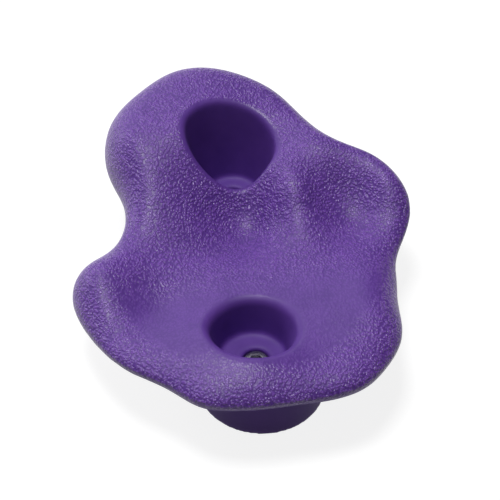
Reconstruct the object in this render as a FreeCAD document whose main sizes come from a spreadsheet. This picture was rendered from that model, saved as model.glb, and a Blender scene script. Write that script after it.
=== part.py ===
import FreeCAD, Part
import Sketcher
import math
import os
from FreeCAD import Vector

# Two-bolt climbing hold. Millimetres, +Z out of the wall, +Y from the lower bolt to the upper one.
# The origin lies on the wall plane, halfway between the bolts.

doc = FreeCAD.newDocument("climbing_hold")
sheet = doc.addObject("Spreadsheet::Sheet", "Sizes")

# Driving sizes: name, value, what it measures
SIZES = [
    ("hold_width", 145.0, "width that the outline shares follow"),
    ("hold_length", 176.0, "length that the outline shares follow"),
    ("hold_height", 61.0, "height that the surface shares follow"),
    ("bolt_spacing", 98.0, "between the two bolt axes"),
    ("rim_depth", 3.0, "widest line down to the edge of the rim"),
    ("rim_tuck", 1.0, "how far the edge lies inside the widest line"),
    ("roll_width", 16.0, "plan width of the rounded shoulder"),
    ("wall_thickness", 3.0, "skin of the moulding"),
    ("seed_radius", 1.0, "flat patch in the middle where the skin is closed"),
    ("cup_floor_height", 18.0, "wall plane to the cup floors"),
    ("upper_cup_floor_radius", 12.0, "flat floor of the upper cup"),
    ("lower_cup_floor_radius", 13.8, "flat floor of the lower cup"),
    ("lower_cup_shift", -1.2, "how far the lower cup lies to the right of its bolt"),
    ("cup_draft", 12.5, "lean of the cup wall, degrees"),
    ("cup_floor_thickness", 4.0, "plastic under the cup floor"),
    ("upper_cup_lip_radius", 2.4, "rounding of the upper cup's mouth"),
    ("lower_cup_lip_radius", 3.6, "rounding of the lower cup's mouth"),
    ("boss_radius", 25.8, "outside of the round foot"),
    ("boss_draft", 1.0, "lean of the foot wall, degrees"),
    ("boss_shift", 2.4, "how far the lower foot lies to the right of its bolt"),
    ("tube_radius", 9.0, "post round each sleeve"),
    ("rib_thickness", 2.2, "stiffening ribs"),
    ("rib_recess", 2.0, "ribs stop this far behind the edge in front of them"),
    ("ribs_per_foot", 6, "rays of ribs around each post"),
    ("sleeve_length", 9.4, "spacer sleeve"),
    ("sleeve_radius", 6.0, "outside of the sleeve"),
    ("sleeve_bore_radius", 3.3, "inside of the sleeve"),
    ("sleeve_chamfer", 0.4, "edges of the sleeve"),
    ("counterbore_radius", 5.5, "well for the screw head"),
    ("washer_radius", 4.95, "outside of the lock washer"),
    ("washer_bore_radius", 3.15, "inside of the lock washer"),
    ("washer_thickness", 1.6, "lock washer, pressed flat"),
    ("washer_split", 0.9, "gap of the split"),
    ("washer_split_lean", 28.0, "lean of the split, degrees"),
    ("screw_length", 30.0, "under the head"),
    ("screw_radius", 3.0, "thread outside"),
    ("screw_point_chamfer", 0.8, "end of the thread"),
    ("head_radius", 5.0, "cap head"),
    ("head_height", 6.0, "cap head"),
    ("head_chamfer", 0.5, "upper edge of the head"),
    ("socket_flats", 5.0, "hexagon key size"),
    ("socket_depth", 3.0, "hexagon socket"),
    ("panel_thickness", 18.0, "climbing panel that the hold is bolted to"),
    ("nut_flange_radius", 9.5, "tee nut plate"),
    ("nut_flange_thickness", 1.4, "tee nut plate"),
    ("nut_barrel_radius", 3.9, "tee nut barrel outside"),
    ("nut_barrel_length", 8.5, "tee nut, plate to barrel end"),
    ("nut_clearance", 0.1, "screw to nut bore"),
    ("nut_bore_chamfer", 0.3, "barrel end"),
    ("prong_width", 2.6, "root of a tee nut prong"),
    ("prong_height", 6.0, "prong above the plate"),
    ("prong_seat", 8.0, "bolt axis to the prong"),
    ("prongs", 4, "prongs on a tee nut"),
    ("overrun", 1.0, "how far cuts and joins run past a face"),
]
for row, (name, value, note) in enumerate(SIZES, start=1):
    sheet.set("A%d" % row, name)
    sheet.set("B%d" % row, str(value))
    sheet.setAlias("B%d" % row, name)
    sheet.set("C%d" % row, note)
doc.recompute()


def size(name):
    return float(sheet.get(name))


# Widest line of the rim, anticlockwise from the waist on the right: shares of width, length and
# height, and the shoulder there as a share of its full width
RIM_SHARES = [
    (0.429, -0.088, 0.432, 1.00),
    (0.457, -0.003, 0.461, 0.95),
    (0.494, 0.056, 0.510, 1.00),
    (0.506, 0.095, 0.550, 1.00),
    (0.502, 0.127, 0.580, 1.00),
    (0.477, 0.177, 0.605, 1.00),
    (0.402, 0.250, 0.620, 1.00),
    (0.318, 0.291, 0.630, 0.95),
    (0.256, 0.352, 0.640, 1.00),
    (0.222, 0.396, 0.650, 1.00),
    (0.169, 0.469, 0.660, 1.00),
    (0.036, 0.553, 0.670, 1.00),
    (-0.069, 0.577, 0.670, 1.00),
    (-0.168, 0.562, 0.665, 1.00),
    (-0.270, 0.495, 0.655, 1.00),
    (-0.335, 0.434, 0.645, 1.00),
    (-0.375, 0.362, 0.625, 1.00),
    (-0.380, 0.313, 0.600, 0.95),
    (-0.366, 0.245, 0.575, 0.90),
    (-0.336, 0.176, 0.555, 0.82),
    (-0.333, 0.107, 0.535, 0.78),
    (-0.366, 0.039, 0.500, 0.85),
    (-0.426, -0.001, 0.461, 0.95),
    (-0.480, -0.036, 0.437, 1.00),
    (-0.504, -0.087, 0.431, 1.00),
    (-0.500, -0.127, 0.431, 1.00),
    (-0.479, -0.186, 0.437, 1.00),
    (-0.441, -0.256, 0.455, 1.00),
    (-0.384, -0.328, 0.475, 0.90),
    (-0.330, -0.369, 0.483, 0.85),
    (-0.267, -0.407, 0.491, 0.78),
    (-0.224, -0.443, 0.494, 0.72),
    (-0.175, -0.479, 0.494, 0.66),
    (-0.092, -0.496, 0.499, 0.60),
    (-0.003, -0.498, 0.499, 0.60),
    (0.094, -0.491, 0.499, 0.63),
    (0.157, -0.486, 0.494, 0.72),
    (0.207, -0.479, 0.494, 0.78),
    (0.276, -0.458, 0.494, 0.84),
    (0.348, -0.397, 0.489, 0.90),
    (0.395, -0.336, 0.482, 0.90),
    (0.415, -0.258, 0.455, 1.00),
    (0.416, -0.180, 0.434, 1.00),
]

# The surface climbs from the lower cup to the top: two levels, shares of height,
# and where the climb starts and ends, shares of length
LOW_LEVEL_SHARE = 0.560
HIGH_LEVEL_SHARE = 0.935
CLIMB_START_SHARE = -0.030
CLIMB_END_SHARE = 0.310

# Swells and hollows laid on the climb: place in shares of width and length,
# height in shares of height (hollows negative), reach in shares of width
SWELL_SHARES = [
    (0.020, 0.100, -0.155, 0.080),
    (-0.070, 0.030, -0.040, 0.090),
    (0.325, 0.115, -0.160, 0.090),
    (0.290, 0.215, -0.055, 0.075),
    (0.310, 0.330, -0.070, 0.080),
    (0.445, 0.140, 0.060, 0.060),
    (0.130, 0.215, 0.045, 0.045),
    (0.155, 0.130, 0.085, 0.045),
    (0.180, 0.045, 0.045, 0.050),
    (-0.220, 0.100, 0.030, 0.080),
    (-0.270, -0.165, -0.055, 0.080),
    (-0.440, -0.080, 0.140, 0.105),
    (0.360, -0.240, 0.060, 0.120),
    (0.140, 0.270, -0.186, 0.085),
    (0.090, 0.410, -0.053, 0.090),
    (-0.140, 0.290, 0.014, 0.080),
    (0.020, 0.150, -0.056, 0.080),
    (-0.100, 0.170, -0.054, 0.080),
    (-0.130, -0.320, 0.071, 0.085),
    (0.000, -0.400, 0.090, 0.085),
    (0.130, -0.250, 0.012, 0.080),
    (0.240, 0.250, 0.087, 0.090),
    (0.050, -0.500, -0.033, 0.100),
    (0.220, -0.450, 0.024, 0.100),
]

RIM_SAMPLES = 72
ROLL_STEPS = 6
INNER_RINGS = 15
SURFACE_DEGREE = 3
UNDERSIDE_SHARES = [0.0, 0.33, 0.67, 1.0]
EDGE_SHARES = [0.0, 0.08, 0.4]

# The last rings lie flat round the middle, this many seed radii out
SEED_REACHES = [2.0, 1.0]

# A closed edge that spans fewer seed radii than this bounds the flat patch in the middle
PATCH_SPAN_IN_SEEDS = 5.0

# An edge belongs to a cup mouth if it lies this near to the bore, as a share of the lip's rounding
LIP_CLOSENESS_SHARE = 0.01


def smooth_step(value):
    value = min(max(value, 0.0), 1.0)
    return value * value * (3.0 - 2.0 * value)


def skin_height(x, y):
    """Height of the skin at a place of the plan, before the rim's shoulder takes it down."""
    x_share = x / size("hold_width")
    y_share = y / size("hold_length")
    climb = smooth_step((y_share - CLIMB_START_SHARE) / (CLIMB_END_SHARE - CLIMB_START_SHARE))
    height_share = LOW_LEVEL_SHARE + (HIGH_LEVEL_SHARE - LOW_LEVEL_SHARE) * climb
    length_in_widths = size("hold_length") / size("hold_width")
    for swell_x, swell_y, swell_height, reach in SWELL_SHARES:
        across = (x_share - swell_x) / reach
        along = (y_share - swell_y) * length_in_widths / reach
        height_share += swell_height * math.exp(-(across * across + along * along) / 2.0)
    return size("hold_height") * height_share


def rim_samples():
    """Points on the widest line, each with the inward direction and the shoulder's width.

    The direction lies halfway between square to the line and towards the middle of the hold,
    so that the lines of a narrow lobe don't cross.
    """
    points = []
    shoulders = []
    for x_share, y_share, z_share, shoulder_share in RIM_SHARES:
        points.append(Vector(x_share * size("hold_width"), y_share * size("hold_length"),
                             z_share * size("hold_height")))
        shoulders.append(shoulder_share * size("roll_width"))
    line = Part.BSplineCurve()
    line.interpolate(Points=points, PeriodicFlag=True)
    stations = line.getKnots()
    shoulders.append(shoulders[0])
    edge = line.toShape()
    samples = []
    for index in range(RIM_SAMPLES):
        reached = edge.getParameterByLength(edge.Length * index / RIM_SAMPLES)
        place = edge.valueAt(reached)
        along = edge.tangentAt(reached)
        square_on = Vector(-along.y, along.x, 0).normalize()
        to_middle = Vector(-place.x, -place.y, 0).normalize()
        inward = (square_on + to_middle).normalize()
        before = max(number for number, station in enumerate(stations[:-1]) if station <= reached)
        share = (reached - stations[before]) / (stations[before + 1] - stations[before])
        shoulder = shoulders[before] + (shoulders[before + 1] - shoulders[before]) * share
        samples.append((place, inward, shoulder))
    return samples


def form_rings(inset, edge_drop):
    """Rings of points: under the rim, up its edge, over the shoulder and in to the middle.

    A sheet closes on itself at a seam. The outer one has it at the right, the inner ones at
    the left, so that no two seams lie over each other.
    """
    samples = rim_samples()
    if inset > 0:
        opposite = RIM_SAMPLES // 2
        samples = samples[opposite:] + samples[:opposite]
    seed = size("seed_radius")
    across_slope = (skin_height(seed, 0) - skin_height(-seed, 0)) / (2.0 * seed)
    along_slope = (skin_height(0, seed) - skin_height(0, -seed)) / (2.0 * seed)
    under_height = min(place.z for place, inward, shoulder in samples) - edge_drop
    seeds = []
    for place, inward, shoulder in samples:
        turn = math.atan2(place.y, place.x)
        seeds.append(Vector(math.cos(turn), math.sin(turn), 0) * seed)
    edge_ring = []
    for place, inward, shoulder in samples:
        point = place + inward * (inset + size("rim_tuck"))
        point.z = place.z - edge_drop
        edge_ring.append(point)
    under_rings = []
    for share in UNDERSIDE_SHARES:
        ring = []
        for middle, edge in zip(seeds, edge_ring):
            point = middle + (edge - middle) * share
            point.z = under_height + (edge.z - under_height) * share
            ring.append(point)
        under_rings.append(ring)
    rings = []
    for share in EDGE_SHARES:
        ring = []
        for edge, (place, inward, shoulder) in zip(edge_ring, samples):
            point = place + inward * (inset + size("rim_tuck") * (1.0 - share))
            point.z = edge.z + (place.z - edge.z) * share
            ring.append(point)
        rings.append(ring)
    for step in range(ROLL_STEPS + 1):
        turn = math.pi / 2.0 * step / ROLL_STEPS
        ring = []
        for place, inward, shoulder in samples:
            point = place + inward * (inset + (shoulder - inset) * (1.0 - math.cos(turn)))
            crown = skin_height(point.x, point.y) - inset
            point.z = place.z + (crown - place.z) * math.sin(turn)
            ring.append(point)
        rings.append(ring)
    shoulder_ring = rings[-1]
    for step in range(1, INNER_RINGS + 1):
        share = step / INNER_RINGS
        ring = []
        for start, middle in zip(shoulder_ring, seeds):
            point = start + (middle - start) * share
            point.z = skin_height(point.x, point.y) - inset
            ring.append(point)
        rings.append(ring)
    rings.pop()
    for reach in SEED_REACHES:
        ring = []
        for middle in seeds:
            point = middle * reach
            point.z = skin_height(0, 0) - inset + across_slope * point.x + along_slope * point.y
            ring.append(point)
        rings.append(ring)
    return under_rings, rings


def ring_surface(rings):
    """A smooth sheet that closes on itself around the hold, held by a net of rings."""
    around = len(rings[0])
    across = len(rings)
    net = [[rings[v][u] for v in range(across)] for u in range(around)]
    across_knots = list(range(across - SURFACE_DEGREE + 1))
    across_mults = [1] * len(across_knots)
    across_mults[0] = SURFACE_DEGREE + 1
    across_mults[-1] = SURFACE_DEGREE + 1
    sheet_surface = Part.BSplineSurface()
    sheet_surface.buildFromPolesMultsKnots(net, [1] * (around + 1), across_mults, list(range(around + 1)),
                                           across_knots, True, False, SURFACE_DEGREE, SURFACE_DEGREE)
    return sheet_surface.toShape()


def closed_form(ring_sets):
    """A solid from the underside and the top sheet, which share the rim's edge."""
    faces = []
    for rings in ring_sets:
        faces.append(ring_surface(rings))
    for face in list(faces):
        for edge in face.Edges:
            if edge.isClosed() and edge.BoundBox.DiagonalLength < PATCH_SPAN_IN_SEEDS * size("seed_radius"):
                faces.append(Part.Face(Part.Wire([edge])))
    shell = Part.makeShell(faces)
    shell.sewShape()
    return Part.makeSolid(shell)


def plane_of(body, role):
    return next(feature for feature in body.Origin.OriginFeatures if feature.Role == role)


def new_body(label):
    body = doc.addObject("PartDesign::Body", label)
    body.Label = label
    return body


def new_sketch(body, name, role, height=None):
    """A sketch on one of the body's own origin planes, raised along its normal if asked."""
    sketch = body.newObject("Sketcher::SketchObject", name)
    sketch.AttachmentSupport = [(plane_of(body, role), "")]
    sketch.MapMode = "FlatFace"
    if height:
        sketch.setExpression("AttachmentOffset.Base.z", height)
    return sketch


def draw_outline(sketch, corners):
    """A closed outline of straight lines; each corner is a pair of expressions of the sheet."""
    values = [tuple(float(sheet.evalExpression(text)) for text in corner) for corner in corners]
    for index, start in enumerate(values):
        end = values[(index + 1) % len(values)]
        sketch.addGeometry(Part.LineSegment(Vector(start[0], start[1], 0), Vector(end[0], end[1], 0)))
    for index, corner in enumerate(corners):
        before = (index - 1) % len(corners)
        sketch.addConstraint(Sketcher.Constraint("Coincident", before, 2, index, 1))
        for kind, axis, text in (("DistanceX", -2, corner[0]), ("DistanceY", -1, corner[1])):
            if text == "0":
                sketch.addConstraint(Sketcher.Constraint("PointOnObject", index, 1, axis))
            else:
                value = float(sheet.evalExpression(text))
                place = sketch.addConstraint(Sketcher.Constraint(kind, -1, 1, index, 1, value))
                sketch.setExpression("Constraints[%d]" % place, text)


def revolve(body, name, corners):
    """A ring or shaft turned about the body's Z axis from a half outline (radius, height)."""
    sketch = new_sketch(body, name + "_outline", "XZ_Plane")
    draw_outline(sketch, corners)
    feature = body.newObject("PartDesign::Revolution", name)
    feature.Profile = sketch
    feature.ReferenceAxis = (sketch, ["V_Axis"])
    feature.Angle = 360.0
    body.Tip = feature
    doc.recompute()
    return feature


def at_bolt(thing, bolt_sign):
    """Put a piece on the axis of the upper bolt (+1) or the lower bolt (-1)."""
    thing.setExpression("Placement.Base.y", "%d * Sizes.bolt_spacing / 2" % bolt_sign)


def spacer_sleeve(label, bolt_sign):
    """Turned steel tube from the wall plane to the bottom of the screw head's well."""
    body = new_body(label)
    revolve(body, label + "_tube", [
        ("Sizes.sleeve_bore_radius", "0"),
        ("Sizes.sleeve_radius - Sizes.sleeve_chamfer", "0"),
        ("Sizes.sleeve_radius", "Sizes.sleeve_chamfer"),
        ("Sizes.sleeve_radius", "Sizes.sleeve_length - Sizes.sleeve_chamfer"),
        ("Sizes.sleeve_radius - Sizes.sleeve_chamfer", "Sizes.sleeve_length"),
        ("Sizes.sleeve_bore_radius", "Sizes.sleeve_length"),
    ])
    at_bolt(body, bolt_sign)
    return body


def lock_washer(label, bolt_sign):
    """Split spring washer, pressed flat under the screw head."""
    body = new_body(label)
    top = "Sizes.sleeve_length + Sizes.washer_thickness"
    revolve(body, label + "_ring", [
        ("Sizes.washer_bore_radius", "Sizes.sleeve_length"),
        ("Sizes.washer_radius", "Sizes.sleeve_length"),
        ("Sizes.washer_radius", top),
        ("Sizes.washer_bore_radius", top),
    ])
    sketch = new_sketch(body, label + "_split_outline", "YZ_Plane")
    lean = "(Sizes.washer_thickness + 2 * Sizes.overrun) * tan(Sizes.washer_split_lean * 1 deg)"
    low = "Sizes.sleeve_length - Sizes.overrun"
    high = "Sizes.sleeve_length + Sizes.washer_thickness + Sizes.overrun"
    draw_outline(sketch, [
        ("-Sizes.washer_split / 2 - %s / 2" % lean, low),
        ("Sizes.washer_split / 2 - %s / 2" % lean, low),
        ("Sizes.washer_split / 2 + %s / 2" % lean, high),
        ("-Sizes.washer_split / 2 + %s / 2" % lean, high),
    ])
    before = body.Tip.Shape.Volume
    split = body.newObject("PartDesign::Pocket", label + "_split")
    split.Profile = sketch
    split.setExpression("Length", "Sizes.washer_radius + Sizes.overrun")
    split.Reversed = True
    body.Tip = split
    doc.recompute()
    print(label, "split takes away", round(before - body.Tip.Shape.Volume, 3), "cubic mm")
    at_bolt(body, bolt_sign)
    return body


def cap_screw(label, bolt_sign):
    """Socket cap screw: shank, chamfered head and hexagon socket."""
    body = new_body(label)
    seat = "Sizes.sleeve_length + Sizes.washer_thickness"
    point = "%s - Sizes.screw_length" % seat
    top = "%s + Sizes.head_height" % seat
    revolve(body, label + "_blank", [
        ("0", point),
        ("Sizes.screw_radius - Sizes.screw_point_chamfer", point),
        ("Sizes.screw_radius", "%s + Sizes.screw_point_chamfer" % point),
        ("Sizes.screw_radius", seat),
        ("Sizes.head_radius", seat),
        ("Sizes.head_radius", "%s - Sizes.head_chamfer" % top),
        ("Sizes.head_radius - Sizes.head_chamfer", top),
        ("0", top),
    ])
    sketch = new_sketch(body, label + "_socket_outline", "XY_Plane", top)
    reach = "Sizes.socket_flats / 2 / cos(30 deg)"
    corners = []
    for turn in range(6):
        angle = "%d deg" % (60 * turn)
        across = "%s * cos(%s)" % (reach, angle)
        along = "0" if turn % 3 == 0 else "%s * sin(%s)" % (reach, angle)
        corners.append((across, along))
    draw_outline(sketch, corners)
    before = body.Tip.Shape.Volume
    socket = body.newObject("PartDesign::Pocket", label + "_socket")
    socket.Profile = sketch
    socket.setExpression("Length", "Sizes.socket_depth")
    body.Tip = socket
    doc.recompute()
    print(label, "socket takes away", round(before - body.Tip.Shape.Volume, 3), "cubic mm")
    at_bolt(body, bolt_sign)
    return body


def tee_nut(label, bolt_sign):
    """Pressed tee nut: plate against the back of the panel, barrel in it, four prongs."""
    body = new_body(label)
    face = "-Sizes.panel_thickness"
    back = "%s - Sizes.nut_flange_thickness" % face
    end = "%s + Sizes.nut_barrel_length" % face
    bore = "Sizes.screw_radius + Sizes.nut_clearance"
    revolve(body, label + "_blank", [
        (bore, back),
        ("Sizes.nut_flange_radius", back),
        ("Sizes.nut_flange_radius", face),
        ("Sizes.nut_barrel_radius", face),
        ("Sizes.nut_barrel_radius", end),
        ("%s + Sizes.nut_bore_chamfer" % bore, end),
        (bore, "%s - Sizes.nut_bore_chamfer" % end),
    ])
    sketch = new_sketch(body, label + "_prong_outline", "YZ_Plane", "Sizes.prong_seat")
    draw_outline(sketch, [
        ("-Sizes.prong_width / 2", "%s - Sizes.nut_flange_thickness / 2" % face),
        ("Sizes.prong_width / 2", "%s - Sizes.nut_flange_thickness / 2" % face),
        ("0", "%s + Sizes.prong_height" % face),
    ])
    prong = body.newObject("PartDesign::Pad", label + "_prong")
    prong.Profile = sketch
    prong.setExpression("Length", "Sizes.nut_flange_thickness")
    body.Tip = prong
    doc.recompute()
    pattern = body.newObject("PartDesign::PolarPattern", label + "_prongs")
    pattern.Originals = [prong]
    pattern.Axis = (plane_of(body, "Z_Axis"), [""])
    pattern.Angle = 360.0
    pattern.setExpression("Occurrences", "Sizes.prongs")
    body.Tip = pattern
    doc.recompute()
    at_bolt(body, bolt_sign)
    return body


def shape_object(label, shape):
    thing = doc.addObject("Part::Feature", label)
    thing.Label = label
    thing.Shape = shape
    return thing


def cylinder(label, radius, height, base="0", bolt_sign=0, shift="0"):
    thing = doc.addObject("Part::Cylinder", label)
    thing.setExpression("Radius", radius)
    thing.setExpression("Height", height)
    thing.setExpression("Placement.Base.z", base)
    thing.setExpression("Placement.Base.x", shift)
    at_bolt(thing, bolt_sign)
    return thing


def cone(label, low_radius, high_radius, height, base, bolt_sign, shift="0"):
    thing = doc.addObject("Part::Cone", label)
    thing.setExpression("Radius1", low_radius)
    thing.setExpression("Radius2", high_radius)
    thing.setExpression("Height", height)
    thing.setExpression("Placement.Base.z", base)
    thing.setExpression("Placement.Base.x", shift)
    at_bolt(thing, bolt_sign)
    return thing


def combine(kind, label, things):
    """A boolean of the document: MultiFuse and MultiCommon take a list, Cut takes a pair."""
    result = doc.addObject("Part::" + kind, label)
    if kind == "Cut":
        result.Base = things[0]
        result.Tool = things[1]
    else:
        result.Shapes = things
    return result


def rib_plate(label, turn, bolt_sign):
    """A long upright plate through a bolt axis; the skin and the feet trim it."""
    thing = doc.addObject("Part::Box", label)
    reach = "2 * (Sizes.hold_length + Sizes.hold_width)"
    thing.setExpression("Length", reach)
    thing.setExpression("Width", "Sizes.rib_thickness")
    thing.setExpression("Height", "Sizes.hold_height + Sizes.rib_recess")
    base_y = "%d * Sizes.bolt_spacing / 2" % bolt_sign
    angle = "%f * 180 deg / Sizes.ribs_per_foot * 2" % turn
    thing.setExpression("Placement.Rotation.Angle", angle)
    thing.setExpression("Placement.Base.x",
                        "-cos(%s) * %s / 2 + sin(%s) * Sizes.rib_thickness / 2" % (angle, reach, angle))
    thing.setExpression("Placement.Base.y",
                        "%s - sin(%s) * %s / 2 - cos(%s) * Sizes.rib_thickness / 2"
                        % (base_y, angle, reach, angle))
    thing.setExpression("Placement.Base.z", "Sizes.rib_recess")
    return thing


def foot_parts(name, bolt_sign, shift, cup_shift):
    """What stands on one bolt axis: foot wall, cup wall, post, and the cutters that open them."""
    lean = "tan(Sizes.boss_draft * 1 deg) * Sizes.hold_height"
    outer = cone(name + "_foot_outside", "Sizes.boss_radius", "Sizes.boss_radius - %s" % lean,
                 "Sizes.hold_height", "0", bolt_sign, shift)
    hollow = cone(name + "_foot_hollow", "Sizes.boss_radius - Sizes.wall_thickness",
                  "Sizes.boss_radius - Sizes.wall_thickness - %s" % lean,
                  "Sizes.hold_height", "0", bolt_sign, shift)
    wall = combine("Cut", name + "_foot_wall", [outer, hollow])
    draft = "tan(Sizes.cup_draft * 1 deg)"
    floor = "Sizes.cup_floor_height"
    cup_height = "(Sizes.hold_height + Sizes.overrun - %s)" % floor
    floor_radius = "Sizes.%s_cup_floor_radius" % name
    bore = cone(name + "_cup_bore", floor_radius, "%s + %s * %s" % (floor_radius, draft, cup_height),
                cup_height, floor, bolt_sign, cup_shift)
    shell_height = "(%s + Sizes.cup_floor_thickness)" % cup_height
    casing_radius = floor_radius + " + Sizes.wall_thickness"
    casing = cone(name + "_cup_casing", casing_radius,
                  "%s + %s * %s" % (casing_radius, draft, shell_height), shell_height,
                  "%s - Sizes.cup_floor_thickness" % floor, bolt_sign, cup_shift)
    post = cylinder(name + "_post", "Sizes.tube_radius", floor, "0", bolt_sign)
    well = cylinder(name + "_well", "Sizes.counterbore_radius",
                    "%s + Sizes.overrun - Sizes.sleeve_length" % floor, "Sizes.sleeve_length", bolt_sign)
    seat = cylinder(name + "_sleeve_seat", "Sizes.sleeve_radius", "Sizes.sleeve_length + Sizes.overrun",
                    "-Sizes.overrun", bolt_sign)
    return outer, [wall, casing, post], [bore, well, seat]


def lip_edges(shape):
    """Edges where a cup's bore meets the skin: the number and the rounding at both ends."""
    found = []
    draft = math.tan(math.radians(size("cup_draft")))
    for number, edge in enumerate(shape.Edges, start=1):
        kinds = [face.Surface.TypeId for face in shape.ancestorsOfType(edge, Part.Face)]
        if "Part::GeomBSplineSurface" not in kinds or "Part::GeomCone" not in kinds:
            continue
        middle = edge.valueAt((edge.FirstParameter + edge.LastParameter) / 2.0)
        name, shift = ("upper", 0.0) if middle.y > 0 else ("lower", size("lower_cup_shift"))
        across = math.hypot(middle.x - shift, abs(middle.y) - size("bolt_spacing") / 2.0)
        bore = size(name + "_cup_floor_radius") + draft * (middle.z - size("cup_floor_height"))
        lip = size(name + "_cup_lip_radius")
        if abs(across - bore) < lip * LIP_CLOSENESS_SHARE:
            found.append((number, lip, lip))
    return found


def hold_moulding():
    """The purple moulding: skin, two feet with cups and posts, and ribs."""
    half_wall = size("wall_thickness") / 2.0
    outside = shape_object("outside_form", closed_form(form_rings(0.0, size("rim_depth"))))
    cavity = shape_object("cavity_form", closed_form(form_rings(size("wall_thickness"),
                                                                size("hold_height"))))
    under_skin = shape_object("under_skin_form", closed_form(form_rings(half_wall,
                                                                        size("hold_height"))))
    rib_space = shape_object("rib_space_form", closed_form(
        form_rings(half_wall, size("rim_depth") - size("rib_recess"))))
    skin = combine("Cut", "skin", [outside, cavity])
    upper_outer, upper_walls, upper_cutters = foot_parts("upper", 1, "0", "0")
    lower_outer, lower_walls, lower_cutters = foot_parts("lower", -1, "Sizes.boss_shift",
                                                         "Sizes.lower_cup_shift")
    plates = []
    for name, bolt_sign in (("upper", 1), ("lower", -1)):
        for turn in range(int(size("ribs_per_foot")) // 2):
            plates.append(rib_plate("%s_rib_plate_%d" % (name, turn + 1), turn, bolt_sign))
    ribs = combine("MultiFuse", "rib_plates", plates)
    standing = combine("MultiFuse", "standing_walls", [ribs] + upper_walls + lower_walls)
    feet = combine("MultiFuse", "feet_solid", [upper_outer, lower_outer])
    in_feet = combine("MultiCommon", "inside_the_feet", [standing, feet, under_skin])
    in_rim = combine("MultiCommon", "ribs_in_the_rim", [ribs, rib_space])
    solid = combine("MultiFuse", "moulding_blank", [skin, in_feet, in_rim])
    cutters = combine("MultiFuse", "cups_and_wells", upper_cutters + lower_cutters)
    opened = combine("Cut", "moulding_opened", [solid, cutters])
    doc.recompute()
    lips = doc.addObject("Part::Fillet", "hold_shell")
    lips.Label = "hold_shell"
    lips.Base = opened
    lips.Edges = lip_edges(opened.Shape)
    doc.recompute()
    return lips


PIECES = [hold_moulding()]
for side, side_sign in (("upper", 1), ("lower", -1)):
    PIECES.append(spacer_sleeve(side + "_sleeve", side_sign))
    PIECES.append(lock_washer(side + "_lock_washer", side_sign))
    PIECES.append(cap_screw(side + "_screw", side_sign))
    PIECES.append(tee_nut(side + "_tee_nut", side_sign))
doc.recompute()

for thing in doc.Objects:
    if "Invalid" in thing.State or "Error" in thing.State:
        raise RuntimeError("failed: " + thing.Label)
for piece in PIECES:
    if piece.Shape.isNull() or not piece.Shape.isValid():
        raise RuntimeError("bad shape: " + piece.Label)

os.makedirs("parts", exist_ok=True)
for piece in PIECES:
    piece.Shape.exportStep("parts/%s.step" % piece.Label)
    box = piece.Shape.BoundBox
    print("%-20s %9.1f cubic mm, %5.1f x %5.1f x %5.1f mm, from z %.1f"
          % (piece.Label, piece.Shape.Volume, box.XLength, box.YLength, box.ZLength, box.ZMin))
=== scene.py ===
# %% [markdown]
# # A climbing hold, dressed in Blender
#
# The hold is one purple plastic moulding with two deep cups, of the kind that
# playground walls for children have. In each cup sit the steel fixings that
# clamp it to a climbing panel: a spacer sleeve, a split lock washer and a socket
# cap screw, with a tee nut behind the panel.
#
# A measured model of these nine pieces comes in first. It could be coloured as
# it is, but its moulding shows facets and its screws have no thread. So each
# piece is refined in its own place, and each finish is built from nodes.

# %% Load the measured model
import math

import bmesh
import bpy
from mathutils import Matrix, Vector


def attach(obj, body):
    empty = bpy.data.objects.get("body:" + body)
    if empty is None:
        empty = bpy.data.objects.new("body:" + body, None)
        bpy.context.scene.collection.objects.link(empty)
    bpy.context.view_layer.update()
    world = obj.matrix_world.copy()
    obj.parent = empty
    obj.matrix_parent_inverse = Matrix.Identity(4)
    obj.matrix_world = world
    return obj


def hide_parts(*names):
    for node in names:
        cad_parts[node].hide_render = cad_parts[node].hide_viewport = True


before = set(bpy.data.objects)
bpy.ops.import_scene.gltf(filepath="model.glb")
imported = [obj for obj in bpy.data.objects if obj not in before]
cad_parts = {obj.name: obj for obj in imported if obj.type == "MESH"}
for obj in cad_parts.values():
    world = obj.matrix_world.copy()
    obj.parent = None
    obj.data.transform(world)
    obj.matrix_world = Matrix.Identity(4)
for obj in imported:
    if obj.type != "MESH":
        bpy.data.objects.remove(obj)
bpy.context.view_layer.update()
MM = 0.001
print("measured pieces:", sorted(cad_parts))

# %% [markdown]
# ## Camera
#
# The photograph looks down at the hold from the side of its lower cup, about
# 44 degrees above the wall plane and 6 degrees to the left. A camera could be
# turned by hand until the picture fits, but angles and a distance are easier to
# correct. So its place is worked out from them, and a long lens with a small
# shift puts the two cups where the picture has them.

# %% Camera
CAMERA_AIM = Vector((0.0, 0.0, 20.0 * MM))
CAMERA_ELEVATION = math.radians(44.4)
CAMERA_AZIMUTH = math.radians(-5.7)
CAMERA_DISTANCE = 0.9
NEAR_LIMIT = 0.05
LENS_MM = 154.3
SENSOR_MM = 36.0
SHIFT_ACROSS = 0.0121
SHIFT_UP = 0.0402

view_direction = Vector((math.sin(CAMERA_AZIMUTH) * math.cos(CAMERA_ELEVATION),
                         -math.cos(CAMERA_AZIMUTH) * math.cos(CAMERA_ELEVATION),
                         math.sin(CAMERA_ELEVATION)))
camera_data = bpy.data.cameras.new("camera")
camera_data.lens = LENS_MM
camera_data.sensor_width = SENSOR_MM
camera_data.shift_x = SHIFT_ACROSS
camera_data.shift_y = SHIFT_UP
camera_data.clip_start = NEAR_LIMIT
camera = bpy.data.objects.new("camera", camera_data)
camera.location = CAMERA_AIM + view_direction * CAMERA_DISTANCE
camera.rotation_euler = view_direction.to_track_quat("Z", "Y").to_euler()
bpy.context.scene.collection.objects.link(camera)
bpy.context.scene.camera = camera
print("camera at", [round(value, 3) for value in camera.location])

# %% [markdown]
# ## White ground
#
# The hold lies on a plain white ground, which also stands for the face of the
# panel, because the fixings pass through it. The ground could be a thick slab,
# but that would bury the ends of the fixings, so it is a single large face.

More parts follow.
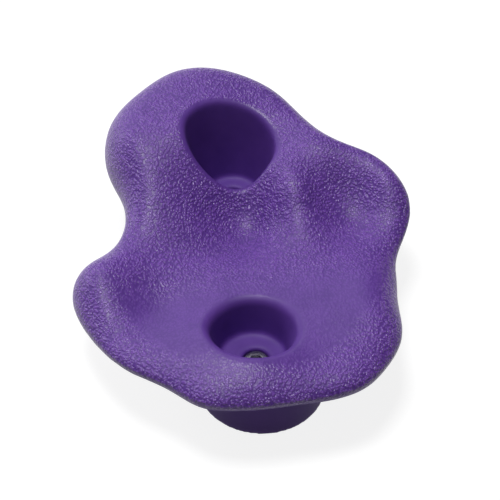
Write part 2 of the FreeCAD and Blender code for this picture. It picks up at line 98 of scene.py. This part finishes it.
# %% Ground
GROUND_SIZE = 6.0
GROUND_GAP = 0.0002

half = GROUND_SIZE / 2.0
ground_mesh = bpy.data.meshes.new("studio_floor")
corners = [(-half, -half, -GROUND_GAP), (half, -half, -GROUND_GAP),
           (half, half, -GROUND_GAP), (-half, half, -GROUND_GAP)]
ground_mesh.from_pydata(corners, [], [(0, 1, 2, 3)])
ground = bpy.data.objects.new("studio_floor", ground_mesh)
bpy.context.scene.collection.objects.link(ground)
print("ground", GROUND_SIZE, "m wide")

# %% [markdown]
# ## Helpers for finishes
#
# Every finish is a small network of nodes. It could be drawn by hand in the
# Shader Editor. In a script each property, value and link takes a line of its
# own, so three helpers keep the recipes short. The first starts a finish. The
# second fills sockets: each takes a plain value, or a link when it is given
# another node's output. The third adds a node with all of that done.


# %% Helpers for finishes
def new_finish(name):
    """A material with its tree and its main shader."""
    finish = bpy.data.materials.new(name)
    finish.use_nodes = True
    return finish, finish.node_tree, finish.node_tree.nodes["Principled BSDF"]


def fill(tree, node, sockets):
    """Give each named or numbered socket of a node its value or its link."""
    for key, value in sockets.items():
        if isinstance(value, bpy.types.NodeSocket):
            tree.links.new(value, node.inputs[key])
        else:
            node.inputs[key].default_value = value


def add_node(tree, kind, sockets, **properties):
    """A node of that kind, ready to be linked onwards."""
    node = tree.nodes.new(kind)
    for name, value in properties.items():
        setattr(node, name, value)
    fill(tree, node, sockets)
    return node


# %% [markdown]
# ## What the ground looks like
#
# In the picture the ground is pure white. It could be lit until it is, but then
# it would throw that light up under the hold, whose foot is dark. So the ground
# has two tones: what is seen directly or as a reflection is nearly white, and
# what sends light on is a dark grey. Most of the seen part is a glow of its own.
# The rest is lit by the lamps, which keeps the hold's soft shadow.
#
# Seen from below the ground is clear, so that the hollow back can be looked at.
# It could be hidden for such views, but the side of the face is a switch that
# works for any camera.

# %% Ground finish
GROUND_ROUGHNESS = 0.9
GROUND_LIT = (0.18, 0.18, 0.18, 1.0)
GROUND_SEEN = (0.9, 0.9, 0.9, 1.0)
WHITE = (1.0, 1.0, 1.0, 1.0)
GLOW_SHARE = 0.7
GLOW_STRENGTH = 1.22

ground_finish, tree, shader = new_finish("white_ground")
rays = add_node(tree, "ShaderNodeLightPath", {}).outputs
direct = add_node(tree, "ShaderNodeMath",
                  {0: rays["Is Camera Ray"], 1: rays["Is Glossy Ray"]}, operation="ADD")
seen = add_node(tree, "ShaderNodeMath",
                {0: direct.outputs[0], 1: rays["Is Transmission Ray"]},
                operation="ADD", use_clamp=True).outputs[0]
tone = add_node(tree, "ShaderNodeMix",
                {"Factor": seen, "A": GROUND_LIT, "B": GROUND_SEEN}, data_type="RGBA")
fill(tree, shader, {"Base Color": tone.outputs["Result"], "Roughness": GROUND_ROUGHNESS})
glow_share = add_node(tree, "ShaderNodeMath", {0: seen, 1: GLOW_SHARE}, operation="MULTIPLY")
glow = add_node(tree, "ShaderNodeEmission", {"Color": WHITE, "Strength": GLOW_STRENGTH})
from_above = add_node(tree, "ShaderNodeMixShader",
                      {0: glow_share.outputs[0], 1: shader.outputs[0], 2: glow.outputs[0]})
from_below = add_node(tree, "ShaderNodeBsdfTransparent", {})
side = add_node(tree, "ShaderNodeNewGeometry", {})
one_way = add_node(tree, "ShaderNodeMixShader",
                   {0: side.outputs["Backfacing"],
                    1: from_above.outputs[0], 2: from_below.outputs[0]})
fill(tree, tree.nodes["Material Output"], {"Surface": one_way.outputs[0]})
ground.data.materials.append(ground_finish)
print("ground finish:", len(tree.nodes), "nodes")

# %% [markdown]
# ## Daylight
#
# Light from all round fills the hollows a little. A picture of a real sky could
# give it, but it would put marks of its own on the plastic, so the sky is one
# plain tone. It is weak, because the cups in the picture are dark, and only the
# camera sees it as full white.

# %% World
SKY_STRENGTH = 0.065
SEEN_SKY_STRENGTH = 1.0

world = bpy.data.worlds.new("studio")
bpy.context.scene.world = world
world.use_nodes = True
sky_tree = world.node_tree
sky = sky_tree.nodes["Background"]
fill(sky_tree, sky, {"Color": WHITE, "Strength": SKY_STRENGTH})
seen_sky = add_node(sky_tree, "ShaderNodeBackground",
                    {"Color": WHITE, "Strength": SEEN_SKY_STRENGTH})
sky_rays = add_node(sky_tree, "ShaderNodeLightPath", {}).outputs
sky_seen = add_node(sky_tree, "ShaderNodeMath",
                    {0: sky_rays["Is Camera Ray"], 1: sky_rays["Is Transmission Ray"]},
                    operation="ADD")
sky_mix = add_node(sky_tree, "ShaderNodeMixShader",
                   {0: sky_seen.outputs[0], 1: sky.outputs[0], 2: seen_sky.outputs[0]})
fill(sky_tree, sky_tree.nodes["World Output"], {"Surface": sky_mix.outputs[0]})
print("sky strength", SKY_STRENGTH)

# %% [markdown]
# ## Lamps
#
# Most of the light in the picture comes from above the hold, a little from the
# left. A low window lights the crests on the left from behind, and a broad weak
# lamp behind the hold draws the sheen over the top. Nothing lights the front, so
# the edge under the front crest and the foot stay dark. Point lamps could do it,
# but they draw hard shadows into the cups, so all three are square and soft.

# %% Lamps
# Each lamp: name, place in metres, width in metres, power in watts
LAMPS = [("top_lamp", (-0.20, 0.08, 1.61), 0.5, 17.5),
         ("window_lamp", (-1.18, 0.90, 0.62), 0.5, 6.5),
         ("back_lamp", (-0.30, 1.35, 0.90), 1.4, 5.0)]

for name, place, width, power in LAMPS:
    light = bpy.data.lights.new(name, "AREA")
    light.shape = "SQUARE"
    light.size = width
    light.energy = power
    lamp = bpy.data.objects.new(name, light)
    lamp.location = place
    lamp.rotation_euler = (Vector(place) - CAMERA_AIM).to_track_quat("Z", "Y").to_euler()
    bpy.context.scene.collection.objects.link(lamp)
    print(name, power, "W")

# %% [markdown]
# ## The moulding
#
# The measured solid already has the right form, but its surface is cut into
# long thin triangles that show as facets under grazing light. Smooth shading
# alone would hide some of them and smear others. Rebuilding the surface from an
# even grid of small cells and then easing the cells out works everywhere, and
# gives the slightly rounded edges that a moulded part has.

# %% Even out the moulding
CELL = 0.8 * MM
EASE_PASSES = 6
HALF_WAY = 0.5


def evened_copy(node_name, name, cell):
    """A copy of a measured piece, rebuilt from even cells and eased."""
    piece = bpy.data.objects.new(name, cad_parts[node_name].data.copy())
    bpy.context.scene.collection.objects.link(piece)
    rebuild = piece.modifiers.new("even_cells", "REMESH")
    rebuild.mode = "VOXEL"
    rebuild.voxel_size = cell
    rebuild.use_smooth_shade = True
    ease = piece.modifiers.new("ease", "CORRECTIVE_SMOOTH")
    ease.iterations = EASE_PASSES
    ease.use_only_smooth = True
    ease.factor = HALF_WAY
    ready = piece.evaluated_get(bpy.context.evaluated_depsgraph_get())
    mesh = bpy.data.meshes.new_from_object(ready)
    piece.modifiers.clear()
    piece.data = mesh
    return piece


hold = evened_copy("hold_shell", "hold_moulding", CELL)
print("moulding:", len(hold.data.polygons), "faces")

# %% [markdown]
# ## The lower edge
#
# Where the rim turns under, the measured edge has small steps. On the real
# moulding it is one soft roll that fingers can grip. The whole form could be
# eased more, but the cups and crests would lose their shape. So only the points
# in a narrow band along the outline move a little towards their neighbours, a
# few times over. The outline is the largest reach in each direction.

# %% Ease the lower edge
DIRECTIONS = 360
EDGE_BAND = 5.0 * MM
EDGE_PASSES = 14
FACES_UP = 0.3


def direction_of(place):
    """The number of the direction, out of all round, in which a point lies."""
    share = math.atan2(place.y, place.x) / (2.0 * math.pi) + 0.5
    return int(share * DIRECTIONS) % DIRECTIONS


edge = bmesh.new()
edge.from_mesh(hold.data)
reach = [0.0] * DIRECTIONS
for point in edge.verts:
    at = direction_of(point.co)
    reach[at] = max(reach[at], math.hypot(point.co.x, point.co.y))
band = [point for point in edge.verts if point.normal.z < FACES_UP
        and math.hypot(point.co.x, point.co.y) > reach[direction_of(point.co)] - EDGE_BAND]
for _ in range(EDGE_PASSES):
    bmesh.ops.smooth_vert(edge, verts=band, factor=HALF_WAY,
                          use_axis_x=True, use_axis_y=True, use_axis_z=True)
edge.to_mesh(hold.data)
edge.free()
print("eased", len(band), "points of the edge")

# %% [markdown]
# ## Where the grain is
#
# The outer skin has a pebbled grain for grip. It is strongest across the
# middle, on the crests and towards the rim, and fainter in a belt beside the
# lower cup and at the top. Inside the cups, on the feet and on the back the
# mould was smooth. A painted picture could hold this, but a rule is easier to
# change. Each rule below gives every point a share from 0 to 1.
#
# The first two rules leave out the bores of the cups and the walls of the feet.

# %% Smooth cups and feet
BOLT_Y = 49.0 * MM
CUP_FLOOR_Z = 18.0 * MM
CUP_LEAN = math.tan(math.radians(12.5))
# Each cup: middle across and along, radius of its floor, width of its rounded lip
CUPS = [(0.0, BOLT_Y, 12.0 * MM, 3.0 * MM),
        (-1.2 * MM, -BOLT_Y, 13.8 * MM, 4.4 * MM)]
SMOOTH_LIP_SHARE = 0.4
# Each foot: middle across and along
FEET = [(0.0, BOLT_Y), (2.4 * MM, -BOLT_Y)]
FOOT_RADIUS = 25.8 * MM
FOOT_FADE = (0.5 * MM, 2.0 * MM)
FOOT_WALL_TILT = (0.2, 0.45)


def ramp(value, start, end):
    """0 before start, 1 after end, an eased step between them."""
    share = min(max((value - start) / (end - start), 0.0), 1.0)
    return share * share * (3.0 - 2.0 * share)


def outside_cups(place):
    """0 in the bore of a cup, rising to 1 past its rounded lip."""
    share = 1.0
    for cup_x, cup_y, floor_radius, lip_width in CUPS:
        bore = floor_radius + CUP_LEAN * (place.z - CUP_FLOOR_Z)
        away = math.hypot(place.x - cup_x, place.y - cup_y) - bore
        share = min(share, ramp(away, SMOOTH_LIP_SHARE * lip_width, lip_width))
    return share


def off_feet(place, normal):
    """0 on the wall of a foot, 1 elsewhere."""
    share = 1.0
    for foot_x, foot_y in FEET:
        away = math.hypot(place.x - foot_x, place.y - foot_y) - FOOT_RADIUS
        share = min(share, max(ramp(away, *FOOT_FADE), ramp(normal.z, *FOOT_WALL_TILT)))
    return share


print("cups and feet left smooth:", len(CUPS), "and", len(FEET))

# %% [markdown]
# The next rule leaves out the back and sets the strength along the hold. All
# shares are multiplied and stored on the points of the mesh, where the finish
# can read them from any side.

# %% Grain mask
BACK_TILT = (-0.25, 0.1)
BELT_GRAIN = 0.30
BELT_FADE = (-34 * MM, -8 * MM)
TOP_LOSS = 0.55
TOP_FADE = (62 * MM, 92 * MM)
RIM_ACROSS = 60.0 * MM
RIM_ALONG = 78.0 * MM
RIM_FADE = (0.84, 1.06)
CLEAR_GRAIN = 0.5


def grain_share(place, normal):
    """How strong the grain is at a point of the moulding."""
    along = BELT_GRAIN + (1.0 - BELT_GRAIN) * ramp(place.y, *BELT_FADE)
    along *= 1.0 - TOP_LOSS * ramp(place.y, *TOP_FADE)
    rim = ramp(math.hypot(place.x / RIM_ACROSS, place.y / RIM_ALONG), *RIM_FADE)
    front = ramp(normal.z, *BACK_TILT)
    return front * outside_cups(place) * off_feet(place, normal) * max(along, rim)


shares = [grain_share(vertex.co, vertex.normal) for vertex in hold.data.vertices]
hold.data.attributes.new("grain", "FLOAT", "POINT").data.foreach_set("value", shares)
grained = sum(1 for share in shares if share > CLEAR_GRAIN)
print("grain on", round(100.0 * grained / len(shares)), "% of the points")

# %% [markdown]
# ## Purple plastic
#
# The moulding is polyethylene coloured through: a satin violet, a little uneven
# from the pigment. One flat colour would look like paint, so the tone runs from
# a deep to a lighter violet. Part of that is the pigment's faint clouds. Part is
# painted shade in the grooves between the pebbles, with painted light on their
# tops. What drives it comes in the next steps. What is the same all over is set
# on the shader itself, so that an export keeps it.

# %% Plastic colours
PLASTIC_IOR = 1.51
PLASTIC_SHINE = 0.4
COAT_ROUGHNESS = 0.42


def srgb(red, green, blue):
    """A colour as a screen shows it (0 to 255), in the light values that Blender reads."""
    linear = []
    for value in (red, green, blue):
        share = value / 255.0
        linear.append(share / 12.92 if share <= 0.04045 else ((share + 0.055) / 1.055) ** 2.4)
    return (*linear, 1.0)


# The lighter violet is painted light on the pebble tops and the deep one is painted shade in the
# grooves between them; the pigment's clouds run between the same two.
PURPLE = srgb(124, 79, 182)
PURPLE_DEEP = srgb(78, 42, 134)

plastic, tree, shader = new_finish("purple_polyethylene")
where = add_node(tree, "ShaderNodeTexCoord", {}).outputs["Object"]
tone = add_node(tree, "ShaderNodeMix", {"A": PURPLE_DEEP, "B": PURPLE}, data_type="RGBA")
fill(tree, shader, {"Base Color": tone.outputs["Result"], "IOR": PLASTIC_IOR,
                    "Specular IOR Level": PLASTIC_SHINE, "Coat Roughness": COAT_ROUGHNESS})
for colour in (PURPLE_DEEP, PURPLE):
    print("plastic tone", [round(value, 3) for value in colour])

# %% [markdown]
# ## Pebbles
#
# The grain is like that of leather: rounded pebbles about a millimetre wide,
# with grooves between them. They could be modelled, but there are thousands. So
# each is one cell of a Voronoi pattern, where the distance to the middle of the
# cell becomes a rounded height. Cells alone look like a honeycomb. The places
# are first bent by a fine noise and stretched a little to one side, which makes
# them irregular.

# %% Pebble pattern
PEBBLE_SIZE = 1.05 * MM
PEBBLE_TURN = math.radians(35.0)
PEBBLE_STRETCH = 1.2
PEBBLE_SOFTNESS = 0.15
PEBBLE_FOOT = 0.80
PEBBLE_TOP = 0.10
BENDS_PER_METRE = 420.0
BEND_DETAIL = 1.0
BEND_REACH = 0.0015

cells_across = 1.0 / PEBBLE_SIZE
cells_along = 1.0 / (PEBBLE_STRETCH * PEBBLE_SIZE)
bend = add_node(tree, "ShaderNodeTexNoise",
                {"Vector": where, "Scale": BENDS_PER_METRE, "Detail": BEND_DETAIL})
bent = add_node(tree, "ShaderNodeMix",
                {"Factor": BEND_REACH, "A": where, "B": bend.outputs["Color"]}, data_type="VECTOR")
stretched = add_node(tree, "ShaderNodeMapping",
                     {"Vector": bent.outputs["Result"], "Rotation": (0.0, 0.0, PEBBLE_TURN),
                      "Scale": (cells_across, cells_along, cells_across)})
pebbles = add_node(tree, "ShaderNodeTexVoronoi",
                   {"Vector": stretched.outputs["Vector"], "Scale": 1.0,
                    "Smoothness": PEBBLE_SOFTNESS}, feature="SMOOTH_F1")
crown = add_node(tree, "ShaderNodeMapRange",
                 {"Value": pebbles.outputs["Distance"], "From Min": PEBBLE_FOOT,
                  "From Max": PEBBLE_TOP}, interpolation_type="SMOOTHSTEP")
print("pebbles", round(PEBBLE_SIZE / MM, 2), "mm wide")

# %% [markdown]
# The mask scales the height, so the pebbles sink into the smooth places. The
# height could move the mesh itself, but its cells are nearly as large as a
# pebble. A Bump node tilts the light instead, which is enough at this size.

# %% Pebble height
PEBBLE_HEIGHT = 0.34 * MM
FULL_BUMP = 1.0

grain = add_node(tree, "ShaderNodeAttribute", {}, attribute_name="grain").outputs["Fac"]
height = add_node(tree, "ShaderNodeMath", {0: crown.outputs["Result"], 1: grain},
                  operation="MULTIPLY").outputs[0]
bump = add_node(tree, "ShaderNodeBump",
                {"Height": height, "Strength": FULL_BUMP, "Distance": PEBBLE_HEIGHT})
fill(tree, shader, {"Normal": bump.outputs["Normal"]})
print("pebbles", round(PEBBLE_HEIGHT / MM, 2), "mm high")

# %% [markdown]
# ## Tone and painted shading of the plastic
#
# The pebble tops are painted lighter and the grooves between them darker: painted
# light and shade laid over the bump. The pigment makes faint clouds, which are
# the plastic's own. Both could be painted into a picture. Here the height of the
# pebbles and a soft noise are added up, so that the painted shading always fits
# the bump.

# %% Tone
PEBBLE_PAINTED_SHADE = 0.9
CLOUD_TINT = 0.5
CLOUDS_PER_METRE = 90.0
CLOUD_DETAIL = 3.0

mottle = add_node(tree, "ShaderNodeTexNoise",
                  {"Vector": where, "Scale": CLOUDS_PER_METRE, "Detail": CLOUD_DETAIL})
clouds = add_node(tree, "ShaderNodeMath", {0: mottle.outputs["Fac"], 1: CLOUD_TINT},
                  operation="MULTIPLY")
# The pebble height paints light on the tops and shade in the grooves; the noise adds the pigment's
# clouds. Where the mask has no grain only the clouds are left, so the smooth cups, feet and back
# take a deeper tone.
painted_shade_and_clouds = add_node(tree, "ShaderNodeMath", {0: height, 1: PEBBLE_PAINTED_SHADE, 2: clouds.outputs[0]},
                   operation="MULTIPLY_ADD")
fill(tree, tone, {"Factor": painted_shade_and_clouds.outputs[0]})
print("clouds", round(1000.0 / CLOUDS_PER_METRE, 1), "mm wide")

# %% [markdown]
# ## Gloss of the plastic
#
# The tops of the pebbles are polished by hands, the grooves are duller, and the
# cups, feet and back are matte. One roughness for all would look like rubber or
# like enamel, so it follows the mask and the height. A thin coat over the skin
# has a softer shine of its own and gives the broad sheen on the crests. It begins
# where the grain begins.

# %% Gloss
SKIN_STARTS = 0.05
COAT = 0.24
MATTE_ROUGHNESS = 0.60
GROOVE_ROUGHNESS = 0.38
TOP_ROUGHNESS = 0.25

coat = add_node(tree, "ShaderNodeMapRange",
                {"Value": grain, "From Max": SKIN_STARTS, "To Max": COAT})
groove = add_node(tree, "ShaderNodeMapRange",
                  {"Value": grain, "From Max": SKIN_STARTS,
                   "To Min": MATTE_ROUGHNESS, "To Max": GROOVE_ROUGHNESS})
gloss = add_node(tree, "ShaderNodeMapRange",
                 {"Value": height, "To Min": groove.outputs["Result"], "To Max": TOP_ROUGHNESS})
fill(tree, shader, {"Coat Weight": coat.outputs["Result"], "Roughness": gloss.outputs["Result"]})
print("roughness from", MATTE_ROUGHNESS, "to", TOP_ROUGHNESS)

# %% [markdown]
# ## Dress the moulding
#
# The refined moulding takes the place of the measured one, which could be
# deleted but is still needed for collisions, so it is only hidden. The new one
# moves with the same body and wears the purple plastic.


# %% Dress the moulding
def paint(piece, finish):
    """Give a piece one finish all over."""
    piece.data.materials.clear()
    piece.data.materials.append(finish)


paint(hold, plastic)
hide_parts("hold_shell")
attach(hold, "hold")
print(hold.name, "dressed in", plastic.name)

# %% [markdown]
# ## Thread of the screws
#
# The hold is fixed by two socket cap screws of 6 mm, whose measured models have
# a plain shank. A thread could be a bump in the material, but then the outline
# would stay straight. Here a 60 degree profile is carried up a helix, one
# millimetre to a turn. It fades out at the point and under the plain neck.

# %% Thread
COLUMNS = 96
PITCH = 1.0 * MM
THREAD_DEPTH = 0.61 * MM
# The profile: share of the pitch going up, share of the depth going in
THREAD_SHAPE = [(0.0, 0.0), (0.125, 0.0), (0.4375, 1.0), (0.6875, 1.0), (1.0, 0.0)]
SHANK_RADIUS = 2.98 * MM
POINT_Z = -19.0 * MM
POINT_CHAMFER = 0.8 * MM
NECK_Z = 5.0 * MM


def around(mesh, radius, turn, z):
    """A new point at that radius, turn and height."""
    return mesh.verts.new((radius * math.cos(turn), radius * math.sin(turn), z))


def thread_radius(depth_share, z):
    """Radius of the thread's profile at a height, faded at both of its ends."""
    fade = min(1.0, max(0.0, (z - POINT_Z) / PITCH), max(0.0, (NECK_Z - z) / PITCH))
    lead_in = min(0.0, z - POINT_Z - POINT_CHAMFER)
    return SHANK_RADIUS - THREAD_DEPTH * depth_share * fade + lead_in


def thread_faces(mesh):
    """Carry the profile up the helix; the ends lie flat in the two end planes."""
    turns = int(round((NECK_Z - POINT_Z) / PITCH)) + 1
    before = None
    for step in range(turns * COLUMNS + 1):
        section = []
        for pitch_share, depth_share in THREAD_SHAPE:
            z = min(max(POINT_Z + PITCH * (step / COLUMNS - 1.0 + pitch_share), POINT_Z), NECK_Z)
            turn = 2.0 * math.pi * step / COLUMNS
            section.append(around(mesh, thread_radius(depth_share, z), turn, z))
        if before:
            for low in range(len(section) - 1):
                mesh.faces.new((before[low], section[low], section[low + 1], before[low + 1]))
        before = section


screw_form = bmesh.new()
thread_faces(screw_form)
print("thread:", len(screw_form.faces), "faces")

# %% [markdown]
# ## Head of the screws
#
# The head has a straight knurl round its side, for fingers, and a hexagon socket
# whose mouth is slightly countersunk. A Spin would give only round forms, so the
# head is stacked from rings instead. Each ring has a height and a rule for its
# radius, which may change on the way round, as the knurl and the hexagon do.

# %% Rules for the rings
KNURL_GROOVES = 48
KNURL_DEPTH = 0.12 * MM
SOCKET_FLATS = 5.0 * MM
SOCKET_SIDE = math.pi / 3.0


def round_ring(radius):
    """The same radius all round."""
    return lambda turn: radius


def knurled_ring(radius):
    """Every other column is a groove of the knurl."""
    def rule(turn):
        column = round(turn * COLUMNS / (2.0 * math.pi))
        return radius - KNURL_DEPTH * (column % (COLUMNS // KNURL_GROOVES))
    return rule


def socket_ring(grown):
    """The hexagon of the socket, made larger by that much."""
    def rule(turn):
        from_flat = math.fmod(turn, SOCKET_SIDE) - SOCKET_SIDE / 2.0
        return (SOCKET_FLATS / 2.0 + grown) / math.cos(from_flat)
    return rule


print("knurl of", KNURL_GROOVES, "grooves")

# %% [markdown]
# The rings run up from the plain neck, round the head and down into the socket.
# A list of them could hold bare heights, but measures from the seat and the top
# show which edge each ring belongs to.

# %% Head
SEAT_Z = 11.0 * MM
TOP_Z = 17.0 * MM
NECK_FILLET = 0.1 * MM
HEAD_RADIUS = 5.0 * MM
HEAD_ROUNDING = 0.5 * MM
SEAT_CHAMFER = 0.3 * MM
KNURL_START = 0.4 * MM
KNURL_END = 1.3 * MM
BAND_START = 1.0 * MM
BAND_RADIUS = HEAD_RADIUS - 0.1 * MM
# Two points of the rounded top edge: shares of the rounding, inwards and below the top
LOW_IN, LOW_DOWN = 0.15, 0.5
HIGH_IN, HIGH_DOWN = 0.5, 0.15
SOCKET_BEVEL = 0.18 * MM
SOCKET_DEPTH = 3.0 * MM
DRILL_RADIUS = 1.0 * MM
DRILL_DEPTH = 0.4 * MM

HEAD_RINGS = [
    (round_ring(SHANK_RADIUS), NECK_Z),
    (round_ring(SHANK_RADIUS), SEAT_Z - NECK_FILLET),
    (round_ring(SHANK_RADIUS + NECK_FILLET), SEAT_Z),
    (round_ring(HEAD_RADIUS - SEAT_CHAMFER), SEAT_Z),
    (knurled_ring(HEAD_RADIUS), SEAT_Z + KNURL_START),
    (knurled_ring(HEAD_RADIUS), TOP_Z - KNURL_END),
    (round_ring(BAND_RADIUS), TOP_Z - BAND_START),
    (round_ring(BAND_RADIUS), TOP_Z - HEAD_ROUNDING),
    (round_ring(BAND_RADIUS - LOW_IN * HEAD_ROUNDING), TOP_Z - LOW_DOWN * HEAD_ROUNDING),
    (round_ring(HEAD_RADIUS - HIGH_IN * HEAD_ROUNDING), TOP_Z - HIGH_DOWN * HEAD_ROUNDING),
    (round_ring(HEAD_RADIUS - HEAD_ROUNDING), TOP_Z),
    (socket_ring(SOCKET_BEVEL), TOP_Z),
    (socket_ring(0.0), TOP_Z - SOCKET_BEVEL),
    (socket_ring(0.0), TOP_Z - SOCKET_DEPTH),
    (round_ring(DRILL_RADIUS), TOP_Z - SOCKET_DEPTH - DRILL_DEPTH),
]


def ring_points(mesh, radius_at, z):
    """One ring, with its radius taken from a rule."""
    turns = [2.0 * math.pi * column / COLUMNS for column in range(COLUMNS)]
    return [around(mesh, radius_at(turn), turn, z) for turn in turns]


def head_faces(mesh):
    """Join the rings with quads and close the bottom of the socket and the point."""
    before = None
    for radius_at, z in HEAD_RINGS:
        ring = ring_points(mesh, radius_at, z)
        if before:
            for column in range(COLUMNS):
                after = (column + 1) % COLUMNS
                mesh.faces.new((before[column], before[after], ring[after], ring[column]))
        before = ring
    mesh.faces.new(before)
    point = ring_points(mesh, round_ring(SHANK_RADIUS - POINT_CHAMFER), POINT_Z)
    mesh.faces.new(list(reversed(point)))


head_faces(screw_form)
print("head:", len(HEAD_RINGS), "rings")

# %% [markdown]
# ## One screw mesh for both
#
# Thread, head and point are now separate strips whose points lie in the same
# places. They could be left so, but the open seams would show in an export. The
# points are merged and the faces turned outwards. Corners over 30 degrees stay
# sharp, as cut steel has them. Both screws share the finished mesh.

# %% Screw mesh
MERGE_REACH = 0.001 * MM
SHARP_ANGLE = math.radians(30.0)

bmesh.ops.remove_doubles(screw_form, verts=screw_form.verts, dist=MERGE_REACH)
bmesh.ops.dissolve_degenerate(screw_form, edges=screw_form.edges, dist=MERGE_REACH)
bmesh.ops.recalc_face_normals(screw_form, faces=screw_form.faces)
open_edges = sum(1 for edge in screw_form.edges if len(edge.link_faces) != 2)
screw_mesh = bpy.data.meshes.new("socket_cap_screw")
screw_form.to_mesh(screw_mesh)
screw_form.free()
screw_mesh.polygons.foreach_set("use_smooth", [True] * len(screw_mesh.polygons))
screw_mesh.set_sharp_from_angle(angle=SHARP_ANGLE)
print("screw:", len(screw_mesh.polygons), "faces,", open_edges, "open edges")

# %% [markdown]
# ## Steel for the fixings
#
# The fixings are zinc-plated steel. The sleeves and tee nuts have the cloudy,
# satin look of barrel plating. The screws are smoother, so their heads mirror
# the purple wall of the cup round them, as in the picture. The spring steel of
# the lock washers is darker. Plain metal with one roughness would look like
# chrome, so a soft noise drives both tone and roughness, and a very fine one
# adds the tooth of the plating. One recipe serves all three with other values.

# %% Steel finishes
PLATING_DETAIL = 4.0
TEETH_PER_METRE = 2600.0
TOOTH_DETAIL = 2.0
TOOTH_STRENGTH = 0.3
TOOTH_DEPTH = 0.02 * MM


def steel(name, dark, light, smooth, rough, cloud_size):
    """Plated steel with a cloudy tone and a fine tooth."""
    finish, tree, shader = new_finish(name)
    where = add_node(tree, "ShaderNodeTexCoord", {}).outputs["Object"]
    noise = add_node(tree, "ShaderNodeTexNoise",
                     {"Vector": where, "Scale": 1.0 / cloud_size, "Detail": PLATING_DETAIL})
    clouds = noise.outputs["Fac"]
    tone = add_node(tree, "ShaderNodeMix", {"Factor": clouds, "A": dark, "B": light},
                    data_type="RGBA")
    haze = add_node(tree, "ShaderNodeMapRange",
                    {"Value": clouds, "To Min": smooth, "To Max": rough})
    tooth = add_node(tree, "ShaderNodeTexNoise",
                     {"Vector": where, "Scale": TEETH_PER_METRE, "Detail": TOOTH_DETAIL})
    bump = add_node(tree, "ShaderNodeBump",
                    {"Height": tooth.outputs["Fac"], "Strength": TOOTH_STRENGTH,
                     "Distance": TOOTH_DEPTH})
    fill(tree, shader, {"Metallic": 1.0, "Base Color": tone.outputs["Result"],
                        "Roughness": haze.outputs["Result"], "Normal": bump.outputs["Normal"]})
    return finish


# Each steel: darkest and lightest tone, smoothest and roughest patch, width of its clouds
zinc = steel("zinc_plated_steel", srgb(150, 152, 155), srgb(196, 197, 198), 0.28, 0.46, 3.8 * MM)
screw_steel = steel("screw_steel", srgb(158, 157, 164), srgb(190, 189, 195), 0.20, 0.28, 2.5 * MM)
spring_steel = steel("spring_steel", srgb(112, 112, 114), srgb(146, 146, 148), 0.30, 0.44, 2.0 * MM)
print("steels:", zinc.name, screw_steel.name, spring_steel.name)

# %% [markdown]
# ## Dress the fixings
#
# Each cup has a screw, a lock washer, a tee nut and a sleeve. The washer is wound,
# the nut pressed and the sleeve turned, so their edges are never quite sharp. A
# Bevel modifier could round them, but it stumbles over the thin triangles of the
# measured pieces. So they are rebuilt from even cells as the moulding was, with
# much smaller ones. A screw slides and turns and its washer slides with it, so
# each rides on a body of its own; the nuts and sleeves stay with the hold.

# %% Dress the fixings
EDGE_CELL = 0.16 * MM

for side, bolt_y in (("upper", BOLT_Y), ("lower", -BOLT_Y)):
    screw = bpy.data.objects.new(side + "_threaded_screw", screw_mesh)
    screw.location = (0.0, bolt_y, 0.0)
    bpy.context.scene.collection.objects.link(screw)
    washer = evened_copy(side + "_lock_washer", side + "_spring_washer", EDGE_CELL)
    nut = evened_copy(side + "_tee_nut", side + "_pressed_tee_nut", EDGE_CELL)
    sleeve = evened_copy(side + "_sleeve", side + "_turned_sleeve", EDGE_CELL)
    fixings = [(screw, side + "_screw", side + "_screw_body", screw_steel),
               (washer, side + "_lock_washer", side + "_washer_body", spring_steel),
               (nut, side + "_tee_nut", "hold", zinc),
               (sleeve, side + "_sleeve", "hold", zinc)]
    for piece, node_name, body, finish in fixings:
        paint(piece, finish)
        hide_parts(node_name)
        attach(piece, body)
        print(piece.name, len(piece.data.polygons), "faces")

# %% [markdown]
# ## Colour view
#
# Last, the colours are shown as they are written, without a film-like curve over them.

# %% Colour view
bpy.context.scene.view_settings.view_transform = "Standard"
